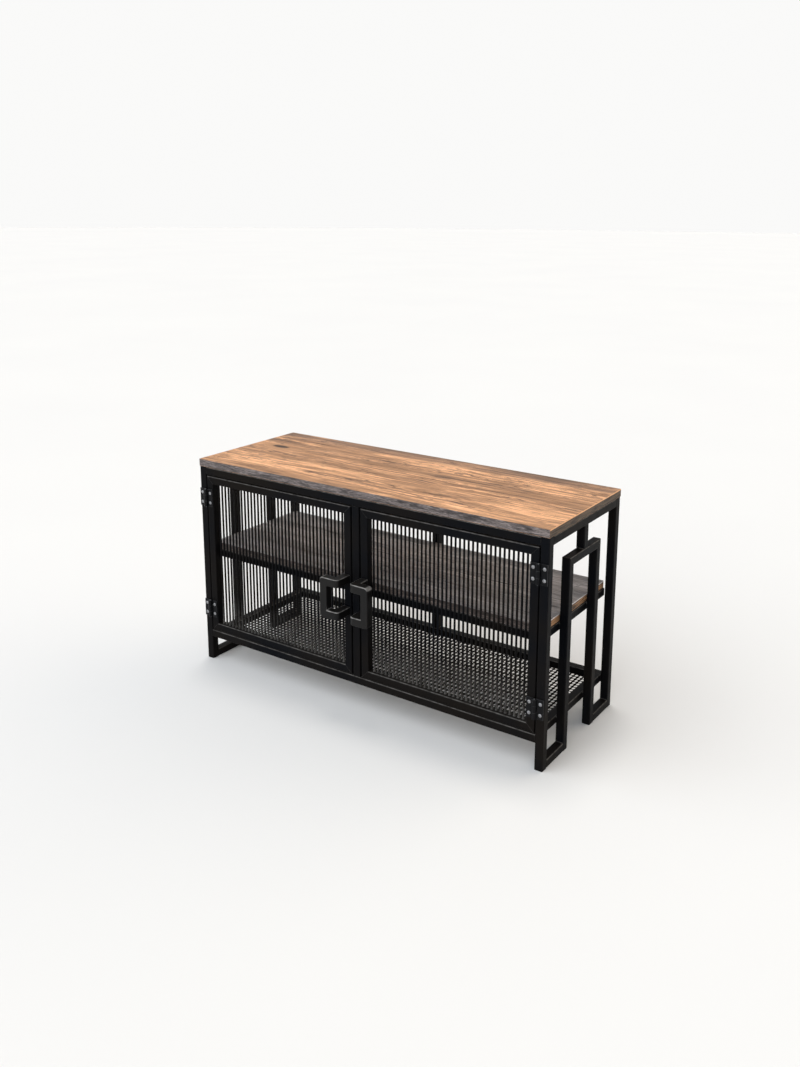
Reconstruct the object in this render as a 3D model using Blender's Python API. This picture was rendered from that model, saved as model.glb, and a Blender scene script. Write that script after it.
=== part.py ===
"""TV stand with two barred doors: a welded square-tube frame, wood boards and a mesh floor.

Metres, +Z up. X runs along the width, -Y is the door side, and Z = 0 is the floor. The origin is
under the middle of the whole object, handles included.
"""

import math

import bmesh
import bpy
from mathutils import Matrix, Vector

# Overall size
WIDTH = 1.0
DEPTH = 0.36
HEIGHT = 0.545

# Stock
TUBE = 0.020
TUBE_WALL = 0.0015
TUBE_CORNER = 0.0022
CORNER_STEPS = 3
TOP_BOARD = 0.019
SHELF_BOARD = 0.018
BOARD_ARRIS = 0.0008
GAP = 0.0003
MITRE_GAP = GAP * math.sqrt(0.5)

# Frame
OVERHANG = 0.001
BASE_RAIL_Z = 0.0625
SHELF_RAIL_Z = 0.284
SHELF_INSET = 0.002
FOOT_SPAN = 0.120
CROSSBAR_TOP = 0.453
MESH_Z = 0.0640
MESH_THICKNESS = 0.0020

# Doors
HINGE_GAP = 0.003
MEETING_GAP = 0.0045
DOOR_BOTTOM_GAP = 0.0020
DOOR_TOP_GAP = 0.0027
DOOR_BACK_GAP = 0.0010
RODS_PER_DOOR = 37
ROD_RADIUS = 0.0025
ROD_SIDES = 8
CARRIER_HEIGHT = 0.0025
CARRIER_DEPTH = 0.012

# Handles
HANDLE_SECTION = 0.020
HANDLE_HEIGHT = 0.100
HANDLE_WIDTH = 0.053
HANDLE_REACH = 0.048
HANDLE_SETBACK = 0.002
HANDLE_CORNER = 0.008
HANDLE_BEND = 0.010
HANDLE_BEND_STEPS = 6
HANDLE_Z = 0.286

# Hinges
HINGE_HEIGHT = 0.046
HINGE_Z = {"upper": 0.446, "lower": 0.144}
LEAF_THICKNESS = 0.0025
LEAF_NEAR = 0.0054
LEAF_FAR = 0.0205
BARREL_RADIUS = 0.0048
BARREL_SIDES = 16
PIN_RADIUS = 0.0020
PIN_CLEARANCE = 0.00008
PIN_END = 0.0012
SCREW_X = 0.0132
SCREW_Z = 0.0126
SCREW_HOLE_RADIUS = 0.0022

# Magnetic catch
CATCH_WIDTH = 0.056
CATCH_DEPTH = 0.011
CATCH_HEIGHT = 0.014
CATCH_DROP = 0.019

# Planes that follow from the sizes above
PANEL_FRONT = -(DEPTH - HANDLE_REACH + OVERHANG - GAP) / 2
FRONT = PANEL_FRONT + OVERHANG
BACK = PANEL_FRONT + DEPTH - OVERHANG
SIDE = WIDTH / 2 - OVERHANG
INNER_SIDE = SIDE - TUBE
FRAME_TOP = HEIGHT - TOP_BOARD - GAP
TOP_RAIL_Z = FRAME_TOP - TUBE
DOOR_BOTTOM = BASE_RAIL_Z + TUBE + DOOR_BOTTOM_GAP
DOOR_TOP = TOP_RAIL_Z - DOOR_TOP_GAP
DOOR_OUTER = INNER_SIDE - HINGE_GAP
DOOR_INNER = TUBE / 2 + MEETING_GAP
HINGE_AXIS_X = INNER_SIDE - HINGE_GAP / 2
HINGE_AXIS_Y = FRONT - GAP - BARREL_RADIUS
SHELF_FRONT = FRONT + TUBE + DOOR_BACK_GAP
SHELF_BACK = BACK - TUBE - GAP

ENDS = {"left": -1, "right": 1}
DEPTHS = {"front": -1, "back": 1}


def new_material(name, color, roughness, metallic):
    material = bpy.data.materials.new(name)
    material.use_nodes = True
    shader = material.node_tree.nodes["Principled BSDF"]
    shader.inputs["Base Color"].default_value = (*color, 1.0)
    shader.inputs["Roughness"].default_value = roughness
    shader.inputs["Metallic"].default_value = metallic
    return material


def new_object(name, mesh_data, material, location, parent=None):
    """Makes a closed bmesh into an object at a world location, under an optional parent empty."""
    bmesh.ops.recalc_face_normals(mesh_data, faces=mesh_data.faces)
    mesh = bpy.data.meshes.new(name)
    mesh_data.to_mesh(mesh)
    mesh_data.free()
    mesh.materials.append(material)
    mesh.shade_smooth()
    mesh.set_sharp_from_angle(angle=math.radians(32))
    obj = bpy.data.objects.new(name, mesh)
    obj.location = location
    bpy.context.scene.collection.objects.link(obj)
    if parent:
        obj.parent = parent
        obj.location = Vector(location) - parent.location
    return obj


def new_helper(name, mesh_data, location, parent=None):
    """Makes a body that only shapes another one through a Boolean."""
    helper = new_object(name, mesh_data, HELPER_MATERIAL, location, parent)
    helper.hide_render = True
    helper.display_type = "WIRE"
    return helper


def add_boolean(obj, helper, operation):
    modifier = obj.modifiers.new(f"{operation.title()} {helper.name}", "BOOLEAN")
    modifier.operation = operation
    modifier.solver = "EXACT"
    modifier.object = helper


def add_box(mesh_data, low, high):
    """Adds a box between two corners."""
    low = Vector(low)
    high = Vector(high)
    place = Matrix.Translation((low + high) / 2) @ Matrix.Diagonal((*(high - low), 1.0))
    return bmesh.ops.create_cube(mesh_data, size=1.0, matrix=place)["verts"]


def add_prism(mesh_data, outline, shift):
    """Adds the body that a flat outline sweeps when it moves by shift."""
    face = mesh_data.faces.new([mesh_data.verts.new(point) for point in outline])
    extruded = bmesh.ops.extrude_face_region(mesh_data, geom=[face])["geom"]
    moved = [item for item in extruded if isinstance(item, bmesh.types.BMVert)]
    bmesh.ops.translate(mesh_data, verts=moved, vec=shift)


def add_cylinder(mesh_data, centre, radius, length, sides, axis="Z"):
    turn = Matrix.Rotation(math.radians(90), 4, "X") if axis == "Y" else Matrix.Identity(4)
    bmesh.ops.create_cone(
        mesh_data,
        cap_ends=True,
        segments=sides,
        radius1=radius,
        radius2=radius,
        depth=length,
        matrix=Matrix.Translation(centre) @ turn,
    )


def rounded_square(half, radius):
    """Outline of the tube: four corners, each a list of points along its arc."""
    corners = []
    for quarter in range(4):
        turn = math.radians(90 * quarter)
        centre = Matrix.Rotation(turn, 2) @ Vector((half - radius, half - radius))
        arc = []
        for step in range(CORNER_STEPS + 1):
            angle = turn + math.radians(90) * step / CORNER_STEPS
            arc.append(centre + radius * Vector((math.cos(angle), math.sin(angle))))
        corners.append(arc)
    return corners


def tube(name, axis, start, end, centre, mitres=(0, 0), mitre_side=0, parent=None):
    """A length of square tube, open at both ends.

    axis is the letter of its direction, start and end its ends along it, and centre its other two
    coordinates in X, Y, Z order. A mitre of 1 or -1 slopes an end at 45 degrees across the first
    (mitre_side 0) or the second (mitre_side 1) of those two coordinates.
    """
    along = "XYZ".index(axis)
    across = [index for index in range(3) if index != along]
    half = TUBE / 2
    inner_half = half - TUBE_WALL
    outline = rounded_square(half, TUBE_CORNER)
    bore = [Vector((x, y)) * inner_half for x, y in ((1, 1), (-1, 1), (-1, -1), (1, -1))]
    middle = (start + end) / 2
    mesh_data = bmesh.new()

    def vertex(point, position, mitre):
        place = [0.0, 0.0, 0.0]
        place[along] = position - middle + mitre * point[mitre_side]
        place[across[0]] = point[0]
        place[across[1]] = point[1]
        return mesh_data.verts.new(place)

    rings = []
    for position, mitre in ((start, mitres[0]), (end, mitres[1])):
        outer = [[vertex(point, position, mitre) for point in arc] for arc in outline]
        inner = [vertex(point, position, mitre) for point in bore]
        rings.append((outer, inner))
    flat = [[point for arc in outer for point in arc] for outer, _ in rings]
    for index in range(len(flat[0])):
        following = (index + 1) % len(flat[0])
        mesh_data.faces.new((flat[0][index], flat[0][following], flat[1][following], flat[1][index]))
    for index in range(4):
        following = (index + 1) % 4
        near = rings[0][1]
        far = rings[1][1]
        mesh_data.faces.new((near[index], far[index], far[following], near[following]))
    for outer, inner in rings:
        for index in range(4):
            following = (index + 1) % 4
            for step in range(CORNER_STEPS):
                mesh_data.faces.new((inner[index], outer[index][step], outer[index][step + 1]))
            last = outer[index][CORNER_STEPS]
            mesh_data.faces.new((inner[index], last, outer[following][0], inner[following]))
    location = [0.0, 0.0, 0.0]
    location[along] = middle
    location[across[0]] = centre[0]
    location[across[1]] = centre[1]
    return new_object(name, mesh_data, FRAME_MATERIAL, location, parent)


def board(name, low, high, material, arris):
    """A flat board with slightly broken edges."""
    low = Vector(low)
    high = Vector(high)
    middle = (low + high) / 2
    mesh_data = bmesh.new()
    add_box(mesh_data, low - middle, high - middle)
    if arris:
        bmesh.ops.bevel(
            mesh_data,
            geom=mesh_data.edges[:],
            offset=arris,
            offset_type="OFFSET",
            segments=1,
            affect="EDGES",
        )
    return new_object(name, mesh_data, material, middle)


def corner_centre(side, depth):
    """Centre of a corner post."""
    y = FRONT + TUBE / 2 if depth < 0 else BACK - TUBE / 2
    return side * (SIDE - TUBE / 2), y


def upright_y(depth):
    """Centre of the upright that closes the foot at one corner."""
    if depth < 0:
        return FRONT + FOOT_SPAN - TUBE / 2
    return BACK - FOOT_SPAN + TUBE / 2


def make_posts():
    for side_name, side in ENDS.items():
        for depth_name, depth in DEPTHS.items():
            name = f"post_{depth_name}_{side_name}"
            tube(name, "Z", 0, FRAME_TOP, corner_centre(side, depth))
    top = TOP_RAIL_Z - GAP
    bottom = BASE_RAIL_Z + TUBE + GAP
    tube("centre_post_front", "Z", bottom, top, (0, FRONT + TUBE / 2))
    tube("centre_post_back", "Z", bottom, top, (0, BACK - TUBE / 2))


def make_outer_rails():
    """Top and base rails. The base rails at the ends sit inside the uprights, not in line with them."""
    reach = INNER_SIDE - GAP
    top_z = TOP_RAIL_Z + TUBE / 2
    base_z = BASE_RAIL_Z + TUBE / 2
    for depth_name, depth in DEPTHS.items():
        y = corner_centre(1, depth)[1]
        tube(f"top_rail_{depth_name}", "X", -reach, reach, (y, top_z))
        tube(f"base_rail_{depth_name}", "X", -reach, reach, (y, base_z))
    near = FRONT + TUBE + GAP
    far = BACK - TUBE - GAP
    for side_name, side in ENDS.items():
        x = corner_centre(side, 1)[0]
        inboard = side * (INNER_SIDE - GAP - TUBE / 2)
        tube(f"top_rail_{side_name}", "Y", near, far, (x, top_z))
        tube(f"base_rail_{side_name}", "Y", near, far, (inboard, base_z))


def make_shelf_rails():
    """A mitred rectangle inside the posts. Its front rail is also what the closed doors rest on."""
    z = SHELF_RAIL_Z + TUBE / 2
    half = TUBE / 2
    x = INNER_SIDE - GAP - half
    near = SHELF_FRONT + half
    far = SHELF_BACK - half
    across = (-x + MITRE_GAP, x - MITRE_GAP)
    along = (near + MITRE_GAP, far - MITRE_GAP)
    tube("shelf_rail_front", "X", *across, (near, z), (1, -1), 0)
    tube("shelf_rail_back", "X", *across, (far, z), (-1, 1), 0)
    tube("shelf_rail_left", "Y", *along, (-x, z), (1, -1), 0)
    tube("shelf_rail_right", "Y", *along, (x, z), (-1, 1), 0)


def make_catch():
    """A magnet block behind the centre post, wide enough to hold both doors by their back faces."""
    low_y = FRONT + TUBE + GAP
    high_z = TOP_RAIL_Z - CATCH_DROP
    low = (-CATCH_WIDTH / 2, low_y, high_z - CATCH_HEIGHT)
    high = (CATCH_WIDTH / 2, low_y + CATCH_DEPTH, high_z)
    board("magnetic_catch", low, high, CATCH_MATERIAL, BOARD_ARRIS)


def make_end_frames():
    """At each end: two feet on the floor, two uprights, the bar that joins them and its hanger."""
    half = TUBE / 2
    bar_z = CROSSBAR_TOP - half
    for side_name, side in ENDS.items():
        x = side * (SIDE - half)
        near = upright_y(-1)
        far = upright_y(1)
        for depth_name, depth in DEPTHS.items():
            y = upright_y(depth)
            post_y = corner_centre(side, depth)[1]
            ends = sorted((post_y - depth * (half + GAP), y + depth * (half + GAP)))
            tube(f"foot_rail_{depth_name}_{side_name}", "Y", *ends, (x, half))
            name = f"end_upright_{depth_name}_{side_name}"
            tube(name, "Z", 0, bar_z - MITRE_GAP, (x, y), (0, depth), 1)
        name = f"end_crossbar_{side_name}"
        tube(name, "Y", near + MITRE_GAP, far - MITRE_GAP, (x, bar_z), (-1, 1), 1)
        middle = (near + far) / 2
        hanger = (CROSSBAR_TOP + GAP, TOP_RAIL_Z - GAP)
        tube(f"end_hanger_{side_name}", "Z", *hanger, (x, middle))


def make_boards():
    half_width = WIDTH / 2
    top_low = (-half_width, PANEL_FRONT, HEIGHT - TOP_BOARD)
    top_high = (half_width, PANEL_FRONT + DEPTH, HEIGHT)
    board("top_panel", top_low, top_high, WOOD_MATERIAL, BOARD_ARRIS)
    shelf_x = INNER_SIDE - SHELF_INSET
    shelf_z = SHELF_RAIL_Z + TUBE + GAP
    shelf_low = (-shelf_x, SHELF_FRONT, shelf_z)
    shelf_high = (shelf_x, SHELF_BACK - SHELF_INSET, shelf_z + SHELF_BOARD)
    board("shelf_panel", shelf_low, shelf_high, WOOD_MATERIAL, BOARD_ARRIS)
    mesh_x = INNER_SIDE - TUBE - 2 * GAP
    mesh_low = (-mesh_x, FRONT + TUBE + GAP, MESH_Z)
    mesh_high = (mesh_x, BACK - TUBE - GAP, MESH_Z + MESH_THICKNESS)
    board("base_mesh", mesh_low, mesh_high, MESH_MATERIAL, 0)


def make_grille(name, low_x, high_x, parent):
    """Upright rods between two flat carriers, which close the door's window."""
    centre = Vector(((low_x + high_x) / 2, FRONT + TUBE / 2, (DOOR_BOTTOM + DOOR_TOP) / 2))
    half_width = (high_x - low_x) / 2 - GAP
    half_height = (DOOR_TOP - DOOR_BOTTOM) / 2 - TUBE - GAP
    half_depth = CARRIER_DEPTH / 2
    carriers = bmesh.new()
    for low_z in (-half_height, half_height - CARRIER_HEIGHT):
        low = (-half_width, -half_depth, low_z)
        add_box(carriers, low, (half_width, half_depth, low_z + CARRIER_HEIGHT))
    grille = new_object(name, carriers, FRAME_MATERIAL, centre, parent)
    rods = bmesh.new()
    pitch = (high_x - low_x) / (RODS_PER_DOOR + 1)
    length = 2 * half_height - CARRIER_HEIGHT
    for index in range(RODS_PER_DOOR):
        x = (index + 1) * pitch - (high_x - low_x) / 2
        add_cylinder(rods, (x, 0, 0), ROD_RADIUS, length, ROD_SIDES)
    add_boolean(grille, new_helper(f"{name}_rods", rods, centre, parent), "UNION")


def make_handle(name, side, parent):
    """A C of square bar in front of the door, whose arms bend back to the door's meeting edge."""
    half_height = HANDLE_HEIGHT / 2
    front = -HANDLE_REACH
    neck = front + HANDLE_SECTION
    bar = bmesh.new()
    # The C opens towards the other door; its spine has round outer corners.
    spine = side * HANDLE_WIDTH
    outline = [(0, half_height)]
    for sign in (1, -1):
        corner = Vector((side * (HANDLE_WIDTH - HANDLE_CORNER), sign * (half_height - HANDLE_CORNER)))
        turns = range(CORNER_STEPS + 1) if sign > 0 else range(CORNER_STEPS, -1, -1)
        for step in turns:
            angle = math.radians(90) * (1 - step / CORNER_STEPS)
            arc = Vector((side * math.cos(angle), sign * math.sin(angle)))
            outline.append(tuple(corner + HANDLE_CORNER * arc))
    inner_x = spine - side * HANDLE_SECTION
    inner_z = half_height - HANDLE_SECTION
    outline += [(0, -half_height), (0, -inner_z), (inner_x, -inner_z), (inner_x, inner_z), (0, inner_z)]
    add_prism(bar, [(x, front, z) for x, z in outline], (0, HANDLE_SECTION, 0))
    location = Vector((side * (DOOR_INNER + HANDLE_SETBACK), FRONT - GAP, HANDLE_Z))
    handle = new_object(name, bar, HANDLE_MATERIAL, location, parent)
    legs = bmesh.new()
    x_range = sorted((0, side * HANDLE_SECTION))
    overlap = HANDLE_SECTION / 4
    for low_z in (-half_height, inner_z):
        low = (x_range[0], neck - overlap, low_z)
        add_box(legs, low, (x_range[1], 0, low_z + HANDLE_SECTION))
    add_boolean(handle, new_helper(f"{name}_legs", legs, location, parent), "UNION")
    # Each arm turns back to the door in a round bend.
    clear = HANDLE_SECTION / 4
    waste = [(-side * clear, front + HANDLE_BEND), (-side * clear, front - clear)]
    waste.append((side * HANDLE_BEND, front - clear))
    for step in range(HANDLE_BEND_STEPS + 1):
        angle = math.radians(90) * step / HANDLE_BEND_STEPS
        x = side * HANDLE_BEND * (1 - math.sin(angle))
        waste.append((x, front + HANDLE_BEND * (1 - math.cos(angle))))
    bend = bmesh.new()
    low_z = -half_height - clear
    add_prism(bend, [(x, y, low_z) for x, y in waste], (0, 0, -2 * low_z))
    add_boolean(handle, new_helper(f"{name}_bend", bend, location, parent), "DIFFERENCE")


def make_door(side_name, side):
    """A mitred tube frame with a grille and a handle, hung on an empty at its hinge axis."""
    pivot = bpy.data.objects.new(f"{side_name}_door_pivot", None)
    pivot.location = (side * HINGE_AXIS_X, HINGE_AXIS_Y, 0)
    bpy.context.scene.collection.objects.link(pivot)
    half = TUBE / 2
    y = FRONT + half
    outer = side * (DOOR_OUTER - half)
    inner = side * (DOOR_INNER + half)
    low = DOOR_BOTTOM + half
    high = DOOR_TOP - half
    prefix = f"{side_name}_door"
    for name, x, slope in (("hinge", outer, side), ("handle", inner, -side)):
        ends = (low + MITRE_GAP, high - MITRE_GAP)
        tube(f"{prefix}_stile_{name}", "Z", *ends, (x, y), (-slope, slope), 0, pivot)
    left, right = sorted((outer, inner))
    for name, z, slope in (("top", high, 1), ("bottom", low, -1)):
        ends = (left + MITRE_GAP, right - MITRE_GAP)
        tube(f"{prefix}_rail_{name}", "X", *ends, (y, z), (-slope, slope), 1, pivot)
    make_grille(f"{prefix}_grille", left + half, right - half, pivot)
    make_handle(f"{prefix}_handle", side, pivot)
    return pivot


def make_leaf(name, side, outward, location, knuckles, parent=None):
    """Half a hinge. outward is 1 for the half that lies away from the middle of the stand."""
    direction = side * outward
    half_height = HINGE_HEIGHT / 2
    back = BARREL_RADIUS
    front = back - LEAF_THICKNESS
    x_range = sorted((direction * LEAF_NEAR, direction * LEAF_FAR))
    plate = bmesh.new()
    add_box(plate, (x_range[0], front, -half_height), (x_range[1], back, half_height))
    leaf = new_object(name, plate, HINGE_MATERIAL, location, parent)
    tabs = bmesh.new()
    barrels = bmesh.new()
    tab_range = sorted((0, direction * (LEAF_NEAR + LEAF_THICKNESS)))
    inset = LEAF_THICKNESS / 5
    for low_z, high_z in knuckles:
        low = (tab_range[0], front + inset, low_z)
        add_box(tabs, low, (tab_range[1], back - inset, high_z))
        middle = (low_z + high_z) / 2
        add_cylinder(barrels, (0, 0, middle), BARREL_RADIUS, high_z - low_z, BARREL_SIDES)
    cuts = bmesh.new()
    bore = PIN_RADIUS + PIN_CLEARANCE
    add_cylinder(cuts, (0, 0, 0), bore, 2 * HINGE_HEIGHT, BARREL_SIDES)
    for z in (-SCREW_Z, SCREW_Z):
        place = (direction * SCREW_X, back, z)
        add_cylinder(cuts, place, SCREW_HOLE_RADIUS, 4 * LEAF_THICKNESS, ROD_SIDES, "Y")
    add_boolean(leaf, new_helper(f"{name}_tabs", tabs, location, parent), "UNION")
    add_boolean(leaf, new_helper(f"{name}_barrels", barrels, location, parent), "UNION")
    add_boolean(leaf, new_helper(f"{name}_cuts", cuts, location, parent), "DIFFERENCE")


def make_hinge(level, z, side_name, side, pivot):
    """Two leaves on one pin. The frame's leaf has the end knuckles and the door's leaf the middle one."""
    location = (side * HINGE_AXIS_X, HINGE_AXIS_Y, z)
    half_height = HINGE_HEIGHT / 2
    third = HINGE_HEIGHT / 6
    ends = ((-half_height, -third - GAP), (third + GAP, half_height))
    prefix = f"hinge_{level}_{side_name}"
    make_leaf(f"{prefix}_frame_leaf", side, 1, location, ends)
    make_leaf(f"{prefix}_door_leaf", side, -1, location, ((-third, third),), pivot)
    pin = bmesh.new()
    add_cylinder(pin, (0, 0, 0), PIN_RADIUS, HINGE_HEIGHT + 2 * PIN_END, BARREL_SIDES)
    new_object(f"{prefix}_pin", pin, PIN_MATERIAL, location)


for old in list(bpy.data.objects):
    bpy.data.objects.remove(old)

FRAME_MATERIAL = new_material("powder_black", (0.018, 0.018, 0.019), 0.45, 0.0)
HANDLE_MATERIAL = new_material("handle_black", (0.022, 0.022, 0.023), 0.5, 0.0)
HINGE_MATERIAL = new_material("hinge_black", (0.020, 0.020, 0.022), 0.4, 0.0)
PIN_MATERIAL = new_material("pin_steel", (0.35, 0.35, 0.36), 0.3, 1.0)
WOOD_MATERIAL = new_material("oak_board", (0.55, 0.33, 0.18), 0.6, 0.0)
MESH_MATERIAL = new_material("mesh_black", (0.025, 0.025, 0.026), 0.5, 0.0)
CATCH_MATERIAL = new_material("catch_plastic", (0.03, 0.03, 0.03), 0.5, 0.0)
HELPER_MATERIAL = new_material("helper", (0.5, 0.5, 0.5), 0.5, 0.0)

make_posts()
make_outer_rails()
make_shelf_rails()
make_end_frames()
make_boards()
make_catch()
for end_name, end_side in ENDS.items():
    door_pivot = make_door(end_name, end_side)
    for hinge_level, hinge_z in HINGE_Z.items():
        make_hinge(hinge_level, hinge_z, end_name, end_side, door_pivot)
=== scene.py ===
"""Looks for the TV stand: camera, studio, procedural materials and the detailed pieces.

Metres, in the CAD's own frame. A size that the CAD already has is read from the boxes of its nodes.
"""

import math

import bmesh
import bpy
from mathutils import Matrix, Vector


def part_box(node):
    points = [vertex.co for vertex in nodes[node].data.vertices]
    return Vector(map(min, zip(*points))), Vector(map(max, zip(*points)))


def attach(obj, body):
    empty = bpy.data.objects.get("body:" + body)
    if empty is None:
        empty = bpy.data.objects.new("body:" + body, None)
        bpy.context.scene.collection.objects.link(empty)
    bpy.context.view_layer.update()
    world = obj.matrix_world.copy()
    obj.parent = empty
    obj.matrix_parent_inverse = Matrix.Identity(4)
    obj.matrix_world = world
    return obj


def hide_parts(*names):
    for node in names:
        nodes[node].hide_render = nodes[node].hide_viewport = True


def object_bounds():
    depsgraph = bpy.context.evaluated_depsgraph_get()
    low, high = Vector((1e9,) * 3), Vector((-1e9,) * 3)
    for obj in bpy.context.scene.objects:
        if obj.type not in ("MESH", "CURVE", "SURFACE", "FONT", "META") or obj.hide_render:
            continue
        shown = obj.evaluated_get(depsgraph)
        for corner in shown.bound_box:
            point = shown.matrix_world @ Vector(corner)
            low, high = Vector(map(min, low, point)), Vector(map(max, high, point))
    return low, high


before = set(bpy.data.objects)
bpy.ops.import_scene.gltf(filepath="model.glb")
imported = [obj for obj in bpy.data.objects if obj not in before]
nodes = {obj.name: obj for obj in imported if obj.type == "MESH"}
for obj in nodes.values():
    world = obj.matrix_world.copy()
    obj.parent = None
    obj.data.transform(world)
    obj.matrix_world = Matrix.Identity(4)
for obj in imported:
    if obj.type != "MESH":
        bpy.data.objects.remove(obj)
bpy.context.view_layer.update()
scene = bpy.context.scene

SIDES = {"left": -1, "right": 1}
LEVELS = ("upper", "lower")

# Camera, fitted to the corners of the stand in the photo
CAMERA_PLACE = (1.366, -1.906, 1.197)
CAMERA_TURN = (77.6, -0.49, 33.07)
CAMERA_LENS = 33.93
CAMERA_SHIFT = (-0.0375, -0.1064)

# Studio: a soft sun, and a room that fades from the horizon to overhead
SUN_PLACE = (-0.35, 0.6, 3.2)
SUN_TARGET = (0, 0.1, 0)
SUN_ENERGY = 0.85
SUN_COLOR = (1.0, 0.95, 0.88)
SUN_SPREAD = 16
HORIZON = (1.10, 1.14, 1.19)
OVERHEAD = (0.33, 0.35, 0.375)
BACKDROP = (0.955, 0.953, 0.945)
FLOOR_RADIUS = 40
FLOOR_DROP = 0.0002

# Panels of the room: the direction, the cosine to it where the panel begins, and its colour
DARK_RIGHT = ((0.95, -0.20, 0.25), 0.35, (0.10, 0.10, 0.11))
WARM_BACK = ((0.62, 0.77, 0.12), 0.60, (2.40, 2.10, 1.70))
COOL_FRONT = ((-0.35, -0.87, 0.35), 0.30, (2.26, 2.34, 2.42))

# Roundings of the pieces that the CAD leaves sharp
TOP_ARRIS = 0.0011
SHELF_ARRIS = 0.0010
CATCH_ARRIS = 0.0010
HANDLE_ARRIS = 0.0018
LEAF_ARRIS = 0.0003

# Mesh floor: slots on a slanted lattice
STEP_A = Vector((0.0113, -0.0012, 0))
STEP_B = Vector((0.0001, 0.0122, 0))
SLOT_HALF_LENGTH = 0.0060
SLOT_HALF_WIDTH = 0.0042
SLOT_SIDES = 8
LATTICE_SPAN = 46
LATTICE_MARGIN = 0.008
STRAND_RISE = 0.0003
STRAND_THICKNESS = 0.0014

# Door rods: pairs of the height above an end and the radius there, flared at the weld
RODS_PER_DOOR = 37
ROD_SIDES = 14
ROD_FLARE = ((0.0, 0.0036), (0.0012, 0.0031), (0.0026, 0.0025))
GRILLE_GAP = 0.0003

# Hinge screws
SCREW_X = 0.0132
SCREW_Z = 0.0126
LEAF_THICKNESS = 0.0025
HEAD_RADIUS = 0.0042
HEAD_HEIGHT = 0.0021
HEAD_BACK = -0.0001
HEAD_SIDES = 20
CROWN_RADIUS = 0.0004
SHANK_RADIUS = 0.0019
SHANK_END = -0.0024
RECESS = (0.0052, 0.0010, 0.0020)

# Weld beads
BEAD_RADIUS = 0.0017
BEAD_SIDES = 8
BEAD_STEP = 0.0012
END_INSET = 0.0015
RAIL_INSET = 0.0020
POST_FRONT_INSET = 0.0040
POST_BACK_INSET = 0.0020
POST_BEAD_RADIUS = 0.8 * BEAD_RADIUS

# ---------------------------------------------------------------- nodes


def add_node(tree, kind, values=None, links=None, **settings):
    """Adds a node with its settings, the values of its sockets and the links into them."""
    made = tree.nodes.new(kind)
    for key, value in settings.items():
        setattr(made, key, value)
    for key, value in (values or {}).items():
        made.inputs[key].default_value = value
    for key, output in (links or {}).items():
        tree.links.new(output, made.inputs[key])
    return made


def add_ramp(tree, factor, stops):
    """stops are (position, value) pairs, where a value is a grey level or a colour."""
    made = add_node(tree, "ShaderNodeValToRGB", links={"Fac": factor})
    elements = made.color_ramp.elements
    while len(elements) < len(stops):
        elements.new(0.5)
    for element, (position, value) in zip(elements, stops):
        element.position = position
        element.color = (*value, 1) if isinstance(value, tuple) else (value, value, value, 1)
    return made.outputs["Color"]


# ---------------------------------------------------------------- camera and studio

camera_data = bpy.data.cameras.new("camera")
camera_data.sensor_width = 36
camera_data.lens = CAMERA_LENS
camera_data.shift_x, camera_data.shift_y = CAMERA_SHIFT
camera = bpy.data.objects.new("camera", camera_data)
camera.location = CAMERA_PLACE
camera.rotation_euler = [math.radians(angle) for angle in CAMERA_TURN]
scene.collection.objects.link(camera)
scene.camera = camera
scene.view_settings.view_transform = "Standard"

sun_data = bpy.data.lights.new("overhead", "SUN")
sun_data.energy = SUN_ENERGY
sun_data.color = SUN_COLOR
sun_data.angle = math.radians(SUN_SPREAD)
sun = bpy.data.objects.new("overhead", sun_data)
sun.location = SUN_PLACE
aim = Vector(SUN_TARGET) - Vector(SUN_PLACE)
sun.rotation_euler = aim.to_track_quat("-Z", "Y").to_euler()
scene.collection.objects.link(sun)

world = bpy.data.worlds.new("studio")
world.use_nodes = True
scene.world = world
tree = world.node_tree
direction = add_node(tree, "ShaderNodeTexCoord").outputs["Generated"]
height = add_node(tree, "ShaderNodeSeparateXYZ", links={"Vector": direction}).outputs["Z"]
lit = add_ramp(tree, height, ((0.15, HORIZON), (0.45, OVERHEAD)))
for towards, start, color in (DARK_RIGHT, WARM_BACK, COOL_FRONT):
    nearness = add_node(
        tree, "ShaderNodeVectorMath", {1: towards}, {0: direction}, operation="DOT_PRODUCT")
    glow = add_node(
        tree, "ShaderNodeMapRange", {"From Min": start}, {"Value": nearness.outputs["Value"]})
    blend = add_node(
        tree, "ShaderNodeMixRGB", {"Color2": (*color, 1)},
        {"Fac": glow.outputs["Result"], "Color1": lit})
    lit = blend.outputs["Color"]
room = tree.nodes["Background"]
tree.links.new(lit, room.inputs["Color"])
seen = add_node(tree, "ShaderNodeBackground", {"Color": (*BACKDROP, 1)})
path = add_node(tree, "ShaderNodeLightPath")
choice = add_node(tree, "ShaderNodeMixShader", links={
    "Fac": path.outputs["Is Camera Ray"],
    1: room.outputs["Background"],
    2: seen.outputs["Background"],
})
tree.links.new(choice.outputs["Shader"], tree.nodes["World Output"].inputs["Surface"])

# ---------------------------------------------------------------- materials


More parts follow.
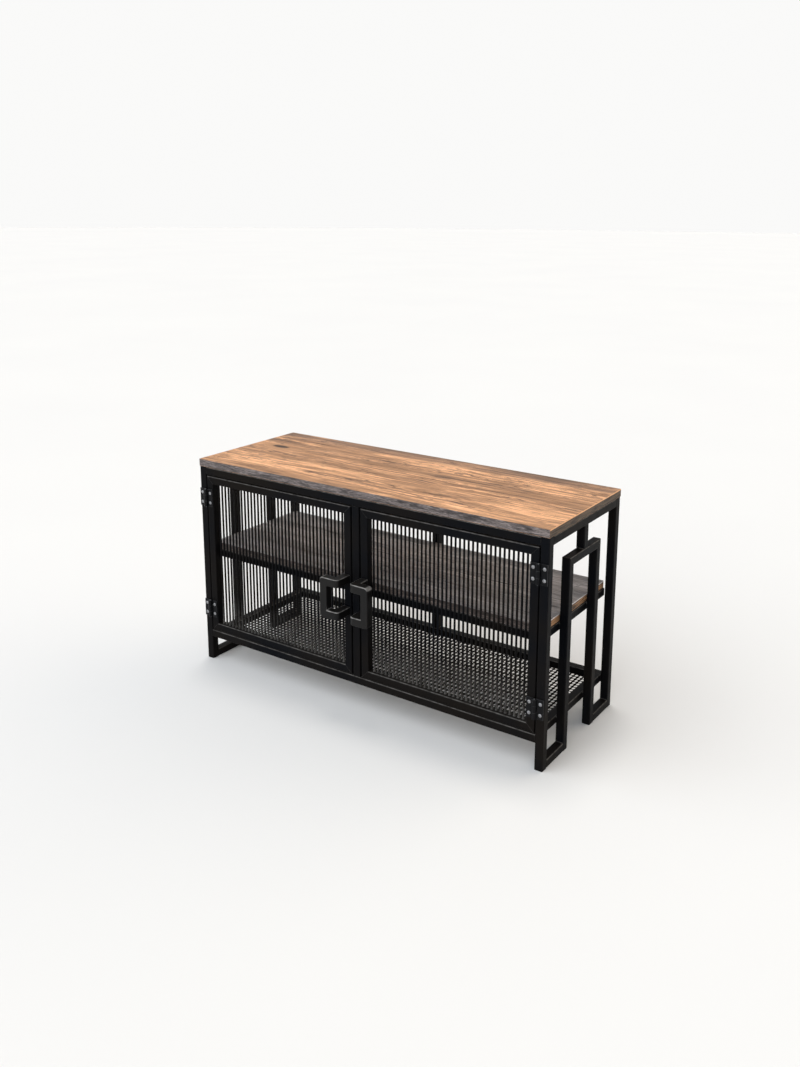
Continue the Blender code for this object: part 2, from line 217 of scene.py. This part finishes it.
class Shading:
    """A Principled material with short calls for the texture nodes that the finishes share."""

    def __init__(self, name, roughness, specular=0.5):
        self.material = bpy.data.materials.new(name)
        self.material.use_nodes = True
        self.tree = self.material.node_tree
        self.shader = self.tree.nodes["Principled BSDF"]
        self.shader.inputs["Roughness"].default_value = roughness
        self.shader.inputs["Specular IOR Level"].default_value = specular
        coordinates = self.node("ShaderNodeTexCoord")
        self.place = coordinates.outputs["Object"]
        self.normal = coordinates.outputs["Normal"]

    def node(self, kind, values=None, links=None, **settings):
        return add_node(self.tree, kind, values, links, **settings)

    def plug(self, value, socket):
        """Links an output into a socket, or sets the socket to a number or a colour."""
        if isinstance(value, bpy.types.NodeSocket):
            self.tree.links.new(value, socket)
        else:
            socket.default_value = (*value, 1) if isinstance(value, tuple) else value

    def parts(self, vector):
        return self.node("ShaderNodeSeparateXYZ", links={"Vector": vector}).outputs

    def stretched(self, scale, source=None):
        links = {"Vector": source or self.place}
        return self.node("ShaderNodeMapping", {"Scale": scale}, links).outputs["Vector"]

    def noise(self, scale, detail=4, roughness=0.55, distortion=0, source=None):
        """Noise with its own scale along each axis, so that it can be drawn out into grain."""
        values = {"Scale": 1, "Detail": detail, "Roughness": roughness, "Distortion": distortion}
        links = {"Vector": self.stretched(scale, source)}
        return self.node("ShaderNodeTexNoise", values, links).outputs["Fac"]

    def ramp(self, factor, *stops):
        return add_ramp(self.tree, factor, stops)

    def mix(self, factor, first, second, blend="MIX"):
        made = self.node("ShaderNodeMix", data_type="RGBA", blend_type=blend)
        sockets = {socket.identifier: socket for socket in made.inputs}
        self.plug(factor, sockets["Factor_Float"])
        self.plug(first, sockets["A_Color"])
        self.plug(second, sockets["B_Color"])
        return next(item for item in made.outputs if item.identifier == "Result_Color")

    def math(self, operation, first, second=0.0):
        made = self.node("ShaderNodeMath", operation=operation)
        self.plug(first, made.inputs[0])
        self.plug(second, made.inputs[1])
        return made.outputs["Value"]

    def times(self, first, second):
        return self.math("MULTIPLY", first, second)

    def facing(self, axis):
        """1 on the faces that lie across an axis, 0 on the others."""
        size = self.math("ABSOLUTE", self.parts(self.normal)[axis])
        return self.math("GREATER_THAN", size, 0.7)

    def upward(self):
        return self.math("MAXIMUM", self.parts(self.normal)["Z"], 0.0)

    def edges(self, radius):
        """0 on flat faces, rising towards 1 along the arrises."""
        rounded = self.node("ShaderNodeBevel", {"Radius": radius}, samples=4)
        plain = self.node("ShaderNodeNewGeometry")
        both = {0: rounded.outputs["Normal"], 1: plain.outputs["Normal"]}
        same = self.node("ShaderNodeVectorMath", links=both, operation="DOT_PRODUCT")
        return self.math("SUBTRACT", 1.0, same.outputs["Value"])

    def color(self, output):
        self.tree.links.new(output, self.shader.inputs["Base Color"])

    def roughness(self, factor, low, high):
        level = self.ramp(factor, (0.25, low), (0.75, high))
        self.tree.links.new(level, self.shader.inputs["Roughness"])

    def bump(self, *layers):
        """layers are (height, depth in metres) pairs."""
        normal = None
        for height, depth in layers:
            links = {"Height": height}
            if normal:
                links["Normal"] = normal
            values = {"Strength": 1.0, "Distance": depth}
            normal = self.node("ShaderNodeBump", values, links).outputs["Normal"]
        self.tree.links.new(normal, self.shader.inputs["Normal"])


def scaled(color, share):
    return tuple(share * value for value in color)


def powder_coat(name, body, warm, wear_and_highlight, gloss, specular):
    """Satin powder coat: orange peel, fine grain, a warm dusty cast and painted highlights on upper
    arrises.
    """
    made = Shading(name, gloss, specular)
    cloud = made.noise((5, 5, 5), 3)
    peel = made.noise((420, 420, 420), 2)
    grain = made.noise((2100, 2100, 2100), 2, 0.7)
    wear = made.noise((70, 70, 70), 5, 0.65)

    # Dust lies on the faces that look up
    tone = made.mix(made.ramp(cloud, (0.36, 0.0), (0.64, 1.0)), body, warm)
    settled = made.times(made.upward(), made.ramp(cloud, (0.3, 0.25), (0.7, 0.6)))
    tone = made.mix(settled, tone, scaled(warm, 2.2))

    # Painted highlight where a rounding turns upwards, broken up by noise, and chipped wear along
    # sharp arrises
    tilt = made.parts(made.normal)["Z"]
    arris = made.ramp(tilt, (0.12, 0.0), (0.24, 1.0), (0.90, 1.0), (0.975, 0.0))
    highlight_and_rub = made.times(arris, made.ramp(wear, (0.36, 0.25), (0.6, 1.0)))
    tone = made.mix(highlight_and_rub, tone, wear_and_highlight)
    chipped = made.times(made.edges(0.0009), made.ramp(peel, (0.35, 0.6), (0.65, 2.6)))
    tone = made.mix(made.math("MINIMUM", chipped, 0.6), tone, wear_and_highlight)

    made.color(tone)
    made.roughness(made.noise((60, 60, 60), 4), gloss - 0.07, gloss + 0.1)
    made.bump((peel, 0.00006), (grain, 0.00002))
    return made.material


def metal(name, base, low, high, metallic, scale):
    """Bare or plated metal with fine scratches along Z and soft clouding."""
    made = Shading(name, low)
    made.shader.inputs["Metallic"].default_value = metallic
    scratch = made.noise((scale, scale, scale * 0.08), 5, 0.7)
    cloud = made.noise((70, 70, 70), 3)
    tone = made.mix(made.ramp(cloud, (0.3, 0.0), (0.7, 1.0)), scaled(base, 0.55), base)
    highlight_and_rub = made.times(made.edges(0.0005), 2.0)
    made.color(made.mix(made.math("MINIMUM", highlight_and_rub, 0.7), tone, scaled(base, 2.2)))
    made.roughness(scratch, low, high)
    made.bump((scratch, 0.00003))
    return made.material


def oak(name, light, middle, dark, edge_light, edge_dark, end_light, end_dark, seed, top):
    """Rustic oak board: planks, streaks, cracks and knots along X, and weathered edges.

    seed moves the pattern, and top is the height of the board's upper face.
    """
    made = Shading(name, 0.55, 0.20)
    moved = made.node("ShaderNodeMapping", {"Location": seed}, {"Vector": made.place})
    source = moved.outputs["Vector"]

    # Knots are rare, and the grain bends round them
    cells = made.stretched((3.4, 9.0, 9.0), source)
    knots = made.node(
        "ShaderNodeTexVoronoi", {"Scale": 1.0, "Randomness": 1.0}, {"Vector": cells})
    shade = made.node("ShaderNodeSeparateColor", links={"Color": knots.outputs["Color"]})
    rare = made.math("GREATER_THAN", shade.outputs["Red"], 0.35)
    near = made.times(rare, made.ramp(knots.outputs["Distance"], (0.0, 1.0), (0.42, 0.0)))
    sway = made.noise((2.2, 6, 6), 3, source=source)
    swell = made.math("ADD", made.times(sway, 0.045), made.times(near, 0.012))
    shift = made.node("ShaderNodeCombineXYZ", {"X": 0.0, "Z": 0.0}, {"Y": swell})
    links = {0: source, 1: shift.outputs["Vector"]}
    source = made.node("ShaderNodeVectorMath", links=links, operation="ADD").outputs["Vector"]

    # Grain drawn out along X, from the planks down to the fibres
    planks = made.noise((0.45, 8.5, 8.5), 2, 0.5, source=source)
    patches = made.noise((3.0, 18, 18), 5, 0.65, 0.8, source)
    streaks = made.noise((1.9, 34, 34), 7, 0.72, 1.1, source)
    cracks = made.noise((4.5, 135, 135), 5, 0.62, 0.5, source)
    fibres = made.noise((13, 520, 520), 4, 0.65, 0.2, source)
    ticks = made.noise((30, 210, 210), 3, 0.60, 0.6, source)
    clumps = made.noise((3, 24, 24), 3, 0.6, 0.3, source)

    # Broad faces
    tone = made.mix(made.ramp(planks, (0.42, 1.0), (0.54, 0.0)), light, middle)
    tone = made.mix(made.ramp(patches, (0.40, 0.75), (0.52, 0.0)), tone, middle)
    tone = made.mix(made.ramp(streaks, (0.37, 0.95), (0.47, 0.0)), tone, dark)
    tone = made.mix(made.ramp(streaks, (0.57, 0.0), (0.70, 0.45)), tone, scaled(light, 1.15))
    tone = made.mix(made.ramp(cracks, (0.37, 0.95), (0.43, 0.0)), tone, scaled(dark, 0.6))
    ticked = made.times(
        made.ramp(ticks, (0.38, 1.0), (0.46, 0.0)), made.ramp(clumps, (0.42, 0.2), (0.58, 1.0)))
    tone = made.mix(ticked, tone, dark)
    tone = made.mix(made.ramp(cracks, (0.45, 0.70), (0.52, 0.0)), tone, middle)
    soft = made.ramp(fibres, (0.36, (0.50, 0.47, 0.44)), (0.56, (1.14, 1.13, 1.13)))
    tone = made.mix(0.8, tone, soft, "MULTIPLY")
    tone = made.mix(made.times(made.ramp(near, (0.25, 0.0), (0.75, 0.8)), 0.9), tone, middle)
    tone = made.mix(made.ramp(near, (0.73, 0.0), (0.81, 0.9)), tone, scaled(dark, 0.4))

    # Long edges: grey and coarse
    grey = made.noise((34, 300, 300), 6, 0.75, 1.6, source)
    patch = made.noise((14, 90, 90), 3, 0.6, 0.5, source)
    front = made.ramp(grey, (0.38, edge_dark), (0.50, edge_light), (0.62, scaled(edge_light, 2.1)))
    front = made.mix(made.ramp(patch, (0.40, 0.75), (0.52, 0.0)), front, edge_dark)

    # Ends: level layers under a light lip
    layers = made.noise((16, 16, 250), 4, 0.65, 0.3, source)
    end = made.ramp(layers, (0.42, end_dark), (0.55, end_light))
    place = made.parts(made.place)
    below = made.math("SUBTRACT", top, place["Z"])
    lip = made.times(made.math("ADD", below, made.times(cracks, 0.002)), 100.0)
    end = made.mix(made.ramp(lip, (0.30, 0.85), (0.42, 0.0)), end, light)

    # A weathered strip along the back, and then the edges, the ends and the lighter arrises
    ragged = made.math("ADD", place["Y"], made.times(streaks, 0.05))
    weathered = made.ramp(made.times(ragged, 4.0), (0.67, 0.0), (0.76, 0.65))
    weathered = made.times(weathered, made.ramp(sway, (0.35, 0.35), (0.55, 1.0)))
    tone = made.mix(weathered, tone, scaled(dark, 1.9))
    tone = made.mix(made.facing("Y"), tone, front)
    tone = made.mix(made.facing("X"), tone, end)
    arris = made.times(made.edges(0.0014), made.ramp(cracks, (0.35, 1.0), (0.60, 5.0)))
    tone = made.mix(made.math("MINIMUM", arris, 0.75), tone, light)

    made.color(tone)
    made.roughness(fibres, 0.62, 0.42)
    made.bump((streaks, 0.0004), (cracks, 0.0004), (fibres, 0.00022))
    return made.material


# The arris colour of each coat is both chipped wear and a painted highlight on upward roundings
frame_black = powder_coat(
    "frame_black", body=(0.0036, 0.0042, 0.0056), warm=(0.0080, 0.0066, 0.0056),
    wear_and_highlight=(0.095, 0.090, 0.085), gloss=0.36, specular=0.025)
handle_black = powder_coat(
    "handle_black", body=(0.0045, 0.0045, 0.0048), warm=(0.0085, 0.0075, 0.0066),
    wear_and_highlight=(0.25, 0.24, 0.23), gloss=0.38, specular=0.14)
mesh_black = powder_coat(
    "mesh_black", body=(0.0026, 0.0026, 0.0028), warm=(0.0050, 0.0045, 0.0041),
    wear_and_highlight=(0.012, 0.011, 0.010), gloss=0.50, specular=0.02)
hinge_black = powder_coat(
    "hinge_black", body=(0.0026, 0.0030, 0.0040), warm=(0.0050, 0.0050, 0.0056),
    wear_and_highlight=(0.11, 0.11, 0.115), gloss=0.28, specular=0.10)
catch_black = powder_coat(
    "catch_black", body=(0.016, 0.016, 0.016), warm=(0.020, 0.020, 0.020),
    wear_and_highlight=(0.05, 0.05, 0.05), gloss=0.55, specular=0.30)
pin_steel = metal(
    "pin_steel", base=(0.42, 0.42, 0.43), low=0.25, high=0.5, metallic=1.0, scale=900)
screw_zinc = metal(
    "screw_zinc", base=(0.36, 0.36, 0.37), low=0.28, high=0.48, metallic=0.6, scale=1400)
top_oak = oak(
    "top_oak", light=(0.94, 0.505, 0.262), middle=(0.38, 0.200, 0.098),
    dark=(0.060, 0.038, 0.027), edge_light=(0.125, 0.105, 0.100), edge_dark=(0.026, 0.022, 0.022),
    end_light=(0.095, 0.064, 0.040), end_dark=(0.030, 0.020, 0.013),
    seed=(0.0, 0.0, 0.0), top=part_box("top_panel")[1].z)
shelf_oak = oak(
    "shelf_oak", light=(0.68, 0.660, 0.665), middle=(0.370, 0.355, 0.358),
    dark=(0.066, 0.061, 0.060), edge_light=(0.120, 0.095, 0.085), edge_dark=(0.035, 0.028, 0.026),
    end_light=(0.34, 0.190, 0.100), end_dark=(0.055, 0.033, 0.020),
    seed=(3.1, 0.7, 0.3), top=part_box("shelf_panel")[1].z)

# ---------------------------------------------------------------- floor

floor_mesh = bpy.data.meshes.new("floor")
shape = bmesh.new()
bmesh.ops.create_circle(shape, cap_ends=True, segments=96, radius=FLOOR_RADIUS)
shape.to_mesh(floor_mesh)
shape.free()
floor = bpy.data.objects.new("floor", floor_mesh)
floor.location.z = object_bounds()[0][2] - FLOOR_DROP
scene.collection.objects.link(floor)
paper = Shading("floor_white", 0.85)
paper.color(paper.ramp(
    paper.noise((0.7, 0.7, 0.7), 2), (0.3, (0.800, 0.798, 0.796)), (0.7, (0.816, 0.814, 0.808))))
floor_mesh.materials.append(paper.material)

# ---------------------------------------------------------------- detailed pieces


def add_piece(name, mesh, material, body):
    """A new piece that rides on a CAD body."""
    mesh.materials.clear()
    mesh.materials.append(material)
    piece = bpy.data.objects.new(name, mesh)
    scene.collection.objects.link(piece)
    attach(piece, body)
    return piece


def finish_mesh(shape, name, angle=35):
    """Turns a bmesh into a mesh whose edges are sharp from an angle in degrees."""
    bmesh.ops.recalc_face_normals(shape, faces=shape.faces)
    mesh = bpy.data.meshes.new(name)
    shape.to_mesh(mesh)
    shape.free()
    mesh.shade_smooth()
    mesh.set_sharp_from_angle(angle=math.radians(angle))
    return mesh


def refined(node, name, material, body, radius, segments=3):
    """Makes a copy of a CAD node with rounded arrises, which then stands for the node."""
    shape = bmesh.new()
    shape.from_mesh(nodes[node].data)
    bmesh.ops.remove_doubles(shape, verts=shape.verts, dist=0.00001)
    bmesh.ops.dissolve_limit(
        shape, angle_limit=math.radians(1), verts=shape.verts, edges=shape.edges)
    piece = add_piece(name, finish_mesh(shape, name), material, body)
    bevel = piece.modifiers.new("arrises", "BEVEL")
    bevel.width = radius
    bevel.segments = segments
    bevel.limit_method = "ANGLE"
    bevel.angle_limit = math.radians(40)
    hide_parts(node)


def add_tube(shape, points, radii, sides):
    """Adds a round bar through points that lie in line, with its own radius at each."""
    along = (Vector(points[-1]) - Vector(points[0])).normalized()
    across = along.orthogonal().normalized()
    other = along.cross(across)
    rings = []
    for point, radius in zip(points, radii):
        ring = []
        for index in range(sides):
            angle = 2 * math.pi * index / sides
            offset = radius * (math.cos(angle) * across + math.sin(angle) * other)
            ring.append(shape.verts.new(Vector(point) + offset))
        rings.append(ring)
    for first, second in zip(rings, rings[1:]):
        for index in range(sides):
            following = (index + 1) % sides
            shape.faces.new((first[index], first[following], second[following], second[index]))
    shape.faces.new(rings[0][::-1])
    shape.faces.new(rings[-1])


# Boards and the catch
refined("top_panel", "top_board", top_oak, "frame", TOP_ARRIS)
refined("shelf_panel", "shelf_board", shelf_oak, "frame", SHELF_ARRIS)
refined("magnetic_catch", "catch_body", catch_black, "frame", CATCH_ARRIS)

# Mesh floor: a web of faces round the slots, cut to the sheet's box and then thickened
mesh_low, mesh_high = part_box("base_mesh")
middle = (mesh_low + mesh_high) / 2
slot_along = STEP_B.normalized()
slot_across = Vector((STEP_B.y, -STEP_B.x, 0)).normalized()
shape = bmesh.new()
corners = {}


def lattice(a, b):
    return middle + a * STEP_A + b * STEP_B


def on_sheet(point):
    return (mesh_low.x - LATTICE_MARGIN < point.x < mesh_high.x + LATTICE_MARGIN
            and mesh_low.y - LATTICE_MARGIN < point.y < mesh_high.y + LATTICE_MARGIN)


def corner(a, b):
    """The corner of the web between four slots, which they share."""
    if (a, b) not in corners:
        point = lattice(a - 0.5, b - 0.5)
        point.z = mesh_low.z + STRAND_RISE
        corners[a, b] = shape.verts.new(point)
    return corners[a, b]


for a in range(-LATTICE_SPAN, LATTICE_SPAN + 1):
    for b in range(-LATTICE_SPAN, LATTICE_SPAN + 1):
        centre = lattice(a, b)
        if not on_sheet(centre):
            continue
        ring = []
        for index in range(SLOT_SIDES):
            angle = 2 * math.pi * (index + 0.5) / SLOT_SIDES
            reach = SLOT_HALF_LENGTH * math.cos(angle) * slot_along
            reach += SLOT_HALF_WIDTH * math.sin(angle) * slot_across
            point = centre + reach
            point.z = mesh_low.z + STRAND_RISE + STRAND_RISE * math.cos(2 * angle)
            ring.append(shape.verts.new(point))
        ring.reverse()
        square = [corner(a, b), corner(a + 1, b), corner(a + 1, b + 1), corner(a, b + 1)]
        away = [(vertex.co - square[0].co).length for vertex in ring]
        start = min(range(SLOT_SIDES), key=lambda k: away[k] + away[(k + 1) % SLOT_SIDES])
        for side in range(4):
            first, second, third = (
                ring[(start + 2 * side + step) % SLOT_SIDES] for step in range(3))
            shape.faces.new((square[side], second, first))
            shape.faces.new((square[side], square[(side + 1) % 4], third, second))
for limit, normal in (
        (mesh_high.x, (1, 0, 0)), (mesh_low.x, (-1, 0, 0)),
        (mesh_high.y, (0, 1, 0)), (mesh_low.y, (0, -1, 0))):
    point = tuple(limit * abs(value) for value in normal)
    geometry = shape.verts[:] + shape.edges[:] + shape.faces[:]
    bmesh.ops.bisect_plane(
        shape, geom=geometry, dist=0.00001, plane_co=point, plane_no=normal, clear_outer=True)
strands = add_piece(
    "floor_mesh", finish_mesh(shape, "floor_mesh", 60), mesh_black, "frame")
thickness = strands.modifiers.new("thickness", "SOLIDIFY")
thickness.thickness = STRAND_THICKNESS
thickness.offset = 1
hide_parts("base_mesh")

# Doors: round rods, handles and hinge leaves
for side_name in SIDES:
    body = f"{side_name}_door"
    low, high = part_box(f"{body}_grille")
    pitch = (high.x - low.x + 2 * GRILLE_GAP) / (RODS_PER_DOOR + 1)
    y = (low.y + high.y) / 2
    heights = [low.z + rise for rise, _ in ROD_FLARE]
    heights += [high.z - rise for rise, _ in reversed(ROD_FLARE)]
    radii = [radius for _, radius in ROD_FLARE + ROD_FLARE[::-1]]
    shape = bmesh.new()
    for index in range(RODS_PER_DOOR):
        x = low.x - GRILLE_GAP + (index + 1) * pitch
        add_tube(shape, [(x, y, z) for z in heights], radii, ROD_SIDES)
    rods = add_piece(
        f"{body}_rods", finish_mesh(shape, f"{body}_rods"), frame_black, body)
    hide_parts(f"{body}_grille")
    refined(f"{body}_handle", f"{body}_pull", handle_black, body, HANDLE_ARRIS)
    for level in LEVELS:
        hinge = f"hinge_{level}_{side_name}"
        for leaf, motion, owner in (("frame", "fixed", "frame"), ("door", "moving", body)):
            refined(f"{hinge}_{leaf}_leaf", f"{hinge}_{motion}_leaf", hinge_black, owner,
                    LEAF_ARRIS, segments=2)


def screw_mesh():
    """A domed head on a short shank, with a cross recess. Z points out of the head."""
    dome = [(HEAD_RADIUS * math.cos(math.radians(a)), HEAD_HEIGHT * math.sin(math.radians(a)))
            for a in range(0, 90, 15)]
    profile = [(SHANK_RADIUS, SHANK_END), (SHANK_RADIUS, HEAD_BACK), (HEAD_RADIUS, HEAD_BACK)]
    profile += dome + [(CROWN_RADIUS, HEAD_HEIGHT)]
    shape = bmesh.new()
    add_tube(shape, [(0, 0, z) for _, z in profile], [r for r, _ in profile], HEAD_SIDES)
    head = bpy.data.objects.new("head", finish_mesh(shape, "head"))
    scene.collection.objects.link(head)
    cross = bmesh.new()
    for turn in (0, 90):
        bmesh.ops.create_cube(cross, size=1, matrix=(
            Matrix.Translation((0, 0, HEAD_HEIGHT)) @ Matrix.Rotation(math.radians(turn), 4, "Z")
            @ Matrix.Diagonal((*RECESS, 1))))
    cutter = bpy.data.objects.new("cutter", finish_mesh(cross, "cutter"))
    scene.collection.objects.link(cutter)
    modifier = head.modifiers.new("recess", "BOOLEAN")
    modifier.operation = "DIFFERENCE"
    modifier.use_self = True
    modifier.object = cutter
    bpy.context.view_layer.update()
    graph = bpy.context.evaluated_depsgraph_get()
    mesh = bpy.data.meshes.new_from_object(head.evaluated_get(graph))
    mesh.name = "screw_head"
    bpy.data.objects.remove(head)
    bpy.data.objects.remove(cutter)
    return mesh


# Hinge screws, each turned to its own angle
screw = screw_mesh()
screw.materials.append(screw_zinc)
for side_name, side in SIDES.items():
    for level in LEVELS:
        pin_low, pin_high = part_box(f"hinge_{level}_{side_name}_pin")
        axis = (pin_low + pin_high) / 2
        for leaf, outward, body in (("frame", 1, "frame"), ("door", -1, f"{side_name}_door")):
            leaf_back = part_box(f"hinge_{level}_{side_name}_{leaf}_leaf")[1].y
            for end_name, end in (("low", -1), ("high", 1)):
                piece = bpy.data.objects.new(f"screw_{level}_{side_name}_{leaf}_{end_name}", screw)
                piece.location = (axis.x + side * outward * SCREW_X,
                                  leaf_back - LEAF_THICKNESS, axis.z + end * SCREW_Z)
                turn = math.radians(31 * (end + 2) + 47 * outward + 23 * side)
                piece.rotation_euler = (math.radians(90), -turn, 0)
                scene.collection.objects.link(piece)
                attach(piece, body)


def add_bead(shape, start, end, radius=BEAD_RADIUS):
    """Adds a rippled weld bead that tapers at both ends."""
    start, end = Vector(start), Vector(end)
    steps = max(8, int((end - start).length / BEAD_STEP))
    points = [start + index / steps * (end - start) for index in range(steps + 1)]
    radii = [
        radius * (0.86 + 0.14 * math.cos(2.1 * index + 60 * start.x))
        * min(1, 0.35 + 0.4 * min(index, steps - index))
        for index in range(steps + 1)
    ]
    add_tube(shape, points, radii, BEAD_SIDES)


# Weld beads on the frame
shape = bmesh.new()
for side_name, side in SIDES.items():
    for depth_name in ("front", "back"):
        low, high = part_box(f"end_upright_{depth_name}_{side_name}")
        inner_x = low.x if side > 0 else high.x
        for rail in ("shelf", "base"):
            rail_low, rail_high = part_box(f"{rail}_rail_{side_name}")
            for y in (low.y, high.y):
                add_bead(shape, (inner_x, y, rail_low.z + RAIL_INSET),
                         (inner_x, y, rail_high.z - RAIL_INSET))
        low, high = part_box(f"foot_rail_{depth_name}_{side_name}")
        for y in (low.y, high.y):
            add_bead(shape, (low.x + END_INSET, y, high.z), (high.x - END_INSET, y, high.z))
    low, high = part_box(f"end_hanger_{side_name}")
    for y in (low.y, high.y):
        for z in (low.z, high.z):
            add_bead(shape, (low.x + END_INSET, y, z), (high.x - END_INSET, y, z))
for name in ("centre_post_front", "centre_post_back"):
    low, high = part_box(name)
    for x in (low.x, high.x):
        for z in (low.z, high.z):
            add_bead(shape, (x, low.y + POST_FRONT_INSET, z), (x, high.y - POST_BACK_INSET, z),
                     POST_BEAD_RADIUS)
add_piece(
    "frame_welds", finish_mesh(shape, "frame_welds", 80), frame_black, "frame")

# Every other CAD node keeps its shape and takes its finish
for name, node in nodes.items():
    if node.hide_render:
        continue
    for slot in node.material_slots:
        slot.material = pin_steel if name.endswith("_pin") else frame_black
